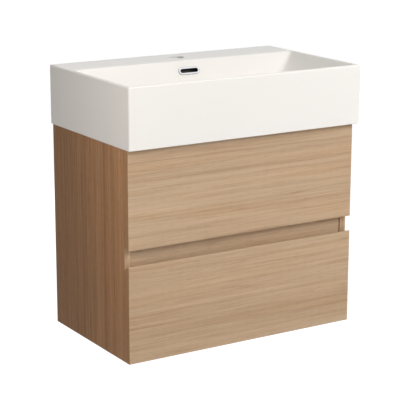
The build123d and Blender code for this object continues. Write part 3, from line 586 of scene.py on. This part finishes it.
def chrome():
    """Mirror plating: bright where it faces out of the bowl, with painted dark reflections on its edges and
    painted shade in its bore.
    """
    made = Surface("chrome", Metallic=1.0)
    facing = made.node("ShaderNodeVectorMath", operation="DOT_PRODUCT")
    made.link(made.coordinates["Normal"], facing.inputs[0])
    facing.inputs[1].default_value = TRIM_AXIS
    patches = made.noise(made.coordinates["Object"], TRIM_PATCHES, detail=3.0)
    plating = made.shades(patches, CHROME, *TRIM_SHADES, NOISE_SPAN)
    # Painted reflection and shade: darker where the normal turns from the trim's face
    shade = made.between(facing.outputs["Value"], TRIM_PAINTED_EDGE_SHADE, 1.0, *TRIM_FACE_SPAN)
    made.feed("Base Color", made.times(plating, shade))
    made.feed("Roughness", made.between(patches, *TRIM_ROUGHNESS, *NOISE_SPAN))
    made.bump(patches, TRIM_RELIEF)
    return made.material


def metal(name, colour, roughness, grain="Y"):
    """Bright metal, drawn along one axis, with faint patches in its plating."""
    made = Surface(name, Metallic=1.0)
    lines = made.noise(along_grain(made, grain, "X"), DRAWN_LINES, detail=3.0)
    patches = made.noise(made.coordinates["Object"], PLATING_PATCHES, detail=4.0)
    drawn = made.math("MULTIPLY", lines, LINE_SHARE)
    mixed = made.math("ADD", drawn, made.math("MULTIPLY", patches, 1 - LINE_SHARE))
    made.feed("Base Color", made.shades(mixed, colour, *DRAWN_SHADES, DRAWN_SPAN))
    made.feed("Roughness", made.between(mixed, *roughness, *DRAWN_SPAN))
    made.bump(lines, DRAWN_RELIEF)
    return made.material


FINISHES = {
    "ceramic": ceramic(),
    "chrome": chrome(),
    "silicone": mottled("silicone", SEAL_PAINTED_SHADOW_DARK, spread=0.05, waves=40, relief=0.00005, roughness=(0.45, 0.6)),
    "oak_front": wood("oak_front", "X", "Z", (OAK_LIT_FRONT_TONE, OAK_SHADED_SIDE_TONE, "X"), figure=1.1),
    "oak_side": wood("oak_side", "Z", "Y", (OAK_SHADED_SIDE_TONE, OAK_LIT_FRONT_TONE, "Y"), figure=1.9, painted_wall_shade=SIDE_PAINTED_WALL_SHADE),
    "carcass_board": wood("carcass_board", "X", "Z", (OAK_CARCASS, OAK_SHADED_SIDE_TONE, "X")),
    "drawer_board": wood("drawer_board", "Y", "Z", (LAMINATE, LAMINATE, "X"), figure=0.5),
    "dowel_wood": wood("dowel_wood", "X", "Z", (OAK_CARCASS, OAK_CARCASS, "X"), figure=0.8),
    "runner_steel": metal("runner_steel", RUNNER_STEEL, roughness=(0.26, 0.40)),
    "plate_steel": metal("plate_steel", PLATE_STEEL, roughness=(0.30, 0.45), grain="Z"),
    "zinc": mottled(
        "zinc", ZINC, spread=0.08, waves=300, relief=0.00002, roughness=(0.30, 0.45), Metallic=1.0
    ),
    "hanger_plastic": mottled(
        "hanger_plastic", HANGER_PLASTIC, spread=0.02, waves=90, relief=0.00004, roughness=(0.38, 0.48)
    ),
    "surround_plastic": mottled(
        "surround_plastic", SURROUND_PLASTIC, spread=0.03, waves=90, relief=0.00006, roughness=(0.45, 0.55)
    ),
    "bumper": mottled("bumper", BUMPER, spread=0.03, waves=200, relief=0.00003, roughness=(0.3, 0.4)),
}


def dress_nodes():
    """Gives each CAD node its finish by the record's material slots."""
    for name, node in nodes.items():
        node.data.materials.clear()
        node.data.materials.append(FINISHES[SLOTS[name]])


# Small fasteners. Each is drawn with its outer face at z 0 and its length along -Z, then set in place.

def loose_solids(node):
    """The separate solids of a CAD node, each as its points."""
    mesh = bmesh.new()
    mesh.from_mesh(nodes[node].data)
    bmesh.ops.remove_doubles(mesh, verts=mesh.verts, dist=WELD)
    seen = set()
    solids = []
    for first in mesh.verts:
        if first in seen:
            continue
        seen.add(first)
        waiting = [first]
        points = []
        while waiting:
            vertex = waiting.pop()
            points.append(vertex.co.copy())
            for edge in vertex.link_edges:
                other = edge.other_vert(vertex)
                if other not in seen:
                    seen.add(other)
                    waiting.append(other)
        solids.append(points)
    mesh.free()
    return solids


def seat(points, outward=None):
    """Place, radius and length of a round CAD solid.

    Outward gives the way its outer face looks, from its middle. Without it, that is the end with the head.
    """
    low = Vector([min(p[i] for p in points) for i in range(3)])
    high = Vector([max(p[i] for p in points) for i in range(3)])
    size = high - low
    middle = (low + high) / 2
    diameter = sorted(size)[1]
    axis = max(range(3), key=lambda i: abs(size[i] - diameter))
    if outward is None:
        def reach(end):
            return max((p - middle).length for p in points if abs(p[axis] - end) < END_FACE)
        way = 1 if reach(high[axis]) > reach(low[axis]) else -1
    else:
        way = 1 if outward(middle)[axis] > 0 else -1
    out = Vector([way if i == axis else 0 for i in range(3)])
    turn = out.to_track_quat("Z", "Y").to_matrix().to_4x4()
    return Matrix.Translation(middle + out * size[axis] / 2) @ turn, diameter / 2, size[axis]


def to_front(middle):
    """The way out of the vanity's front."""
    return (0, -1, 0)


def to_cabinet_middle(middle):
    """The way to the middle of the cabinet."""
    return CABINET_MIDDLE - middle


def plain_rows(profile, radius):
    """Rows without a thread, from a profile's heights and shares of the radius."""
    return [(z, share * radius, 0) for z, share in profile]


def turned(mesh, place, rows, pitch=1.0):
    """Skin over rows of (z, radius, height of the thread's crest). Returns the first row.

    The pitch counts only in rows that have a crest.
    """
    rings = []
    for z, radius, crest in rows:
        ring = []
        for step in range(STEPS):
            share = step / STEPS
            ridge = max(0.0, 1 - THREAD_FLANK * abs((z / pitch - share) % 1 - 0.5))
            r = radius + crest * ridge
            point = Vector((r * cos(2 * pi * share), r * sin(2 * pi * share), z))
            ring.append(mesh.verts.new(place @ point))
        rings.append(ring)
    for first, second in zip(rings, rings[1:]):
        for step in range(STEPS):
            after = (step + 1) % STEPS
            mesh.faces.new((first[step], first[after], second[after], second[step]))
    mesh.faces.new(rings[-1])
    return rings[0]


def cross_recess(mesh, place, ring, reach, width, depth):
    """Closes a ring at z 0 with a flat that has a tapered cross recess."""
    rims = []
    for z, far, half in (
        (0.0, reach, width / 2),
        (-depth, reach * RECESS_FLOOR_REACH, width / 2 * RECESS_FLOOR_WIDTH),
    ):
        rim = []
        for quarter in range(4):
            turn = Matrix.Rotation(quarter * pi / 2, 4, "Z")
            for corner in ((far, -half), (far, half), (half, half)):
                rim.append(mesh.verts.new(place @ turn @ Vector((*corner, z))))
        rims.append(rim)
    top, floor = rims
    for step in range(len(top)):
        after = (step + 1) % len(top)
        mesh.faces.new((top[step], top[after], floor[after], floor[step]))
    mesh.faces.new(floor)
    edges = []
    for loop in (ring, top):
        for first, second in zip(loop, loop[1:] + loop[:1]):
            edges.append(mesh.edges.get((first, second)))
    bmesh.ops.triangle_fill(mesh, use_beauty=True, edges=edges, normal=place.to_3x3() @ Vector((0, 0, 1)))


def thread(start, end, radius, depth, pitch):
    """Rows of a thread between two heights, whose crests reach the radius."""
    count = round((start - end) / pitch * THREAD_ROWS)
    return [(start + (end - start) * i / count, radius - depth, depth) for i in range(count + 1)]


def draw_screw(mesh, points):
    """Pan head wood screw with a cross recess."""
    place, radius, length = seat(points)
    thread_end = SCREW_TAPER - length
    rows = [
        *plain_rows(SCREW_PROFILE, radius),
        (-SCREW_HEAD, SCREW_SHANK, 0),
        *thread(-SCREW_HEAD - SCREW_NECK, thread_end, SCREW_SHANK, SCREW_THREAD, SCREW_PITCH),
        *((height - length, tip_radius, 0) for height, tip_radius in SCREW_TIP),
    ]
    ring = turned(mesh, place, rows, SCREW_PITCH)
    reach, width, depth = SCREW_RECESS
    cross_recess(mesh, place, ring, reach * radius, width, depth)


def draw_adjuster(mesh, points):
    """Hanger's adjusting screw."""
    place, radius, length = seat(points, to_front)
    rows = plain_rows(ADJUSTER_PROFILE, radius)
    rows += thread(-ADJUSTER_NECK, -length, radius, ADJUSTER_THREAD, ADJUSTER_PITCH)
    ring = turned(mesh, place, rows, ADJUSTER_PITCH)
    reach, width, depth = ADJUSTER_RECESS
    cross_recess(mesh, place, ring, reach * radius, width, depth)


def draw_cam(mesh, points):
    """Cam housing with a rim, a waist, a foot and a cross recess, which faces the cabinet's middle."""
    place, radius, length = seat(points, to_cabinet_middle)
    foot = ((CAM_FOOT_TOP, CAM_FOOT), (-length, CAM_FOOT))
    ring = turned(mesh, place, plain_rows((*CAM_PROFILE, *foot), radius))
    reach, width, depth = CAM_RECESS
    cross_recess(mesh, place, ring, reach * radius, width, depth)


def draw_bumper(mesh, points):
    """Soft self-adhesive dome."""
    place, radius, length = seat(points, to_front)
    rows = []
    for row in range(DOME_FIRST_ROW, DOME_ROWS + 1):
        angle = row * pi / 2 / DOME_ROWS
        rows.append((-length * (1 - cos(angle)), radius * sin(angle) ** DOME_FULLNESS, 0))
    mesh.faces.new(turned(mesh, place, rows))


def redraw(node, draw):
    """Stands a detailed copy in for each solid of a CAD node."""
    mesh = bmesh.new()
    for points in loose_solids(node):
        draw(mesh, points)
    bmesh.ops.recalc_face_normals(mesh, faces=mesh.faces)
    data = bpy.data.meshes.new(node + "_detailed")
    mesh.to_mesh(data)
    mesh.free()
    data.shade_smooth()
    data.set_sharp_from_angle(angle=SHARP_EDGE)
    data.materials.append(FINISHES[SLOTS[node]])
    piece = bpy.data.objects.new(node + "_detailed", data)
    bpy.context.scene.collection.objects.link(piece)
    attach(piece, BODIES[node])
    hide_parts(node)


def redraw_fasteners():
    """Screws, cams, adjusting screws and bumpers."""
    for node in nodes:
        if node.endswith("_screws"):
            redraw(node, draw_adjuster if node == "hanger_screws" else draw_screw)
    redraw("cam_locks", draw_cam)
    redraw("front_bumpers", draw_bumper)


dress_nodes()
redraw_fasteners()
add_camera()
add_world()
for name, settings in SOFTBOXES.items():
    add_softbox(name, **settings)
add_floor()
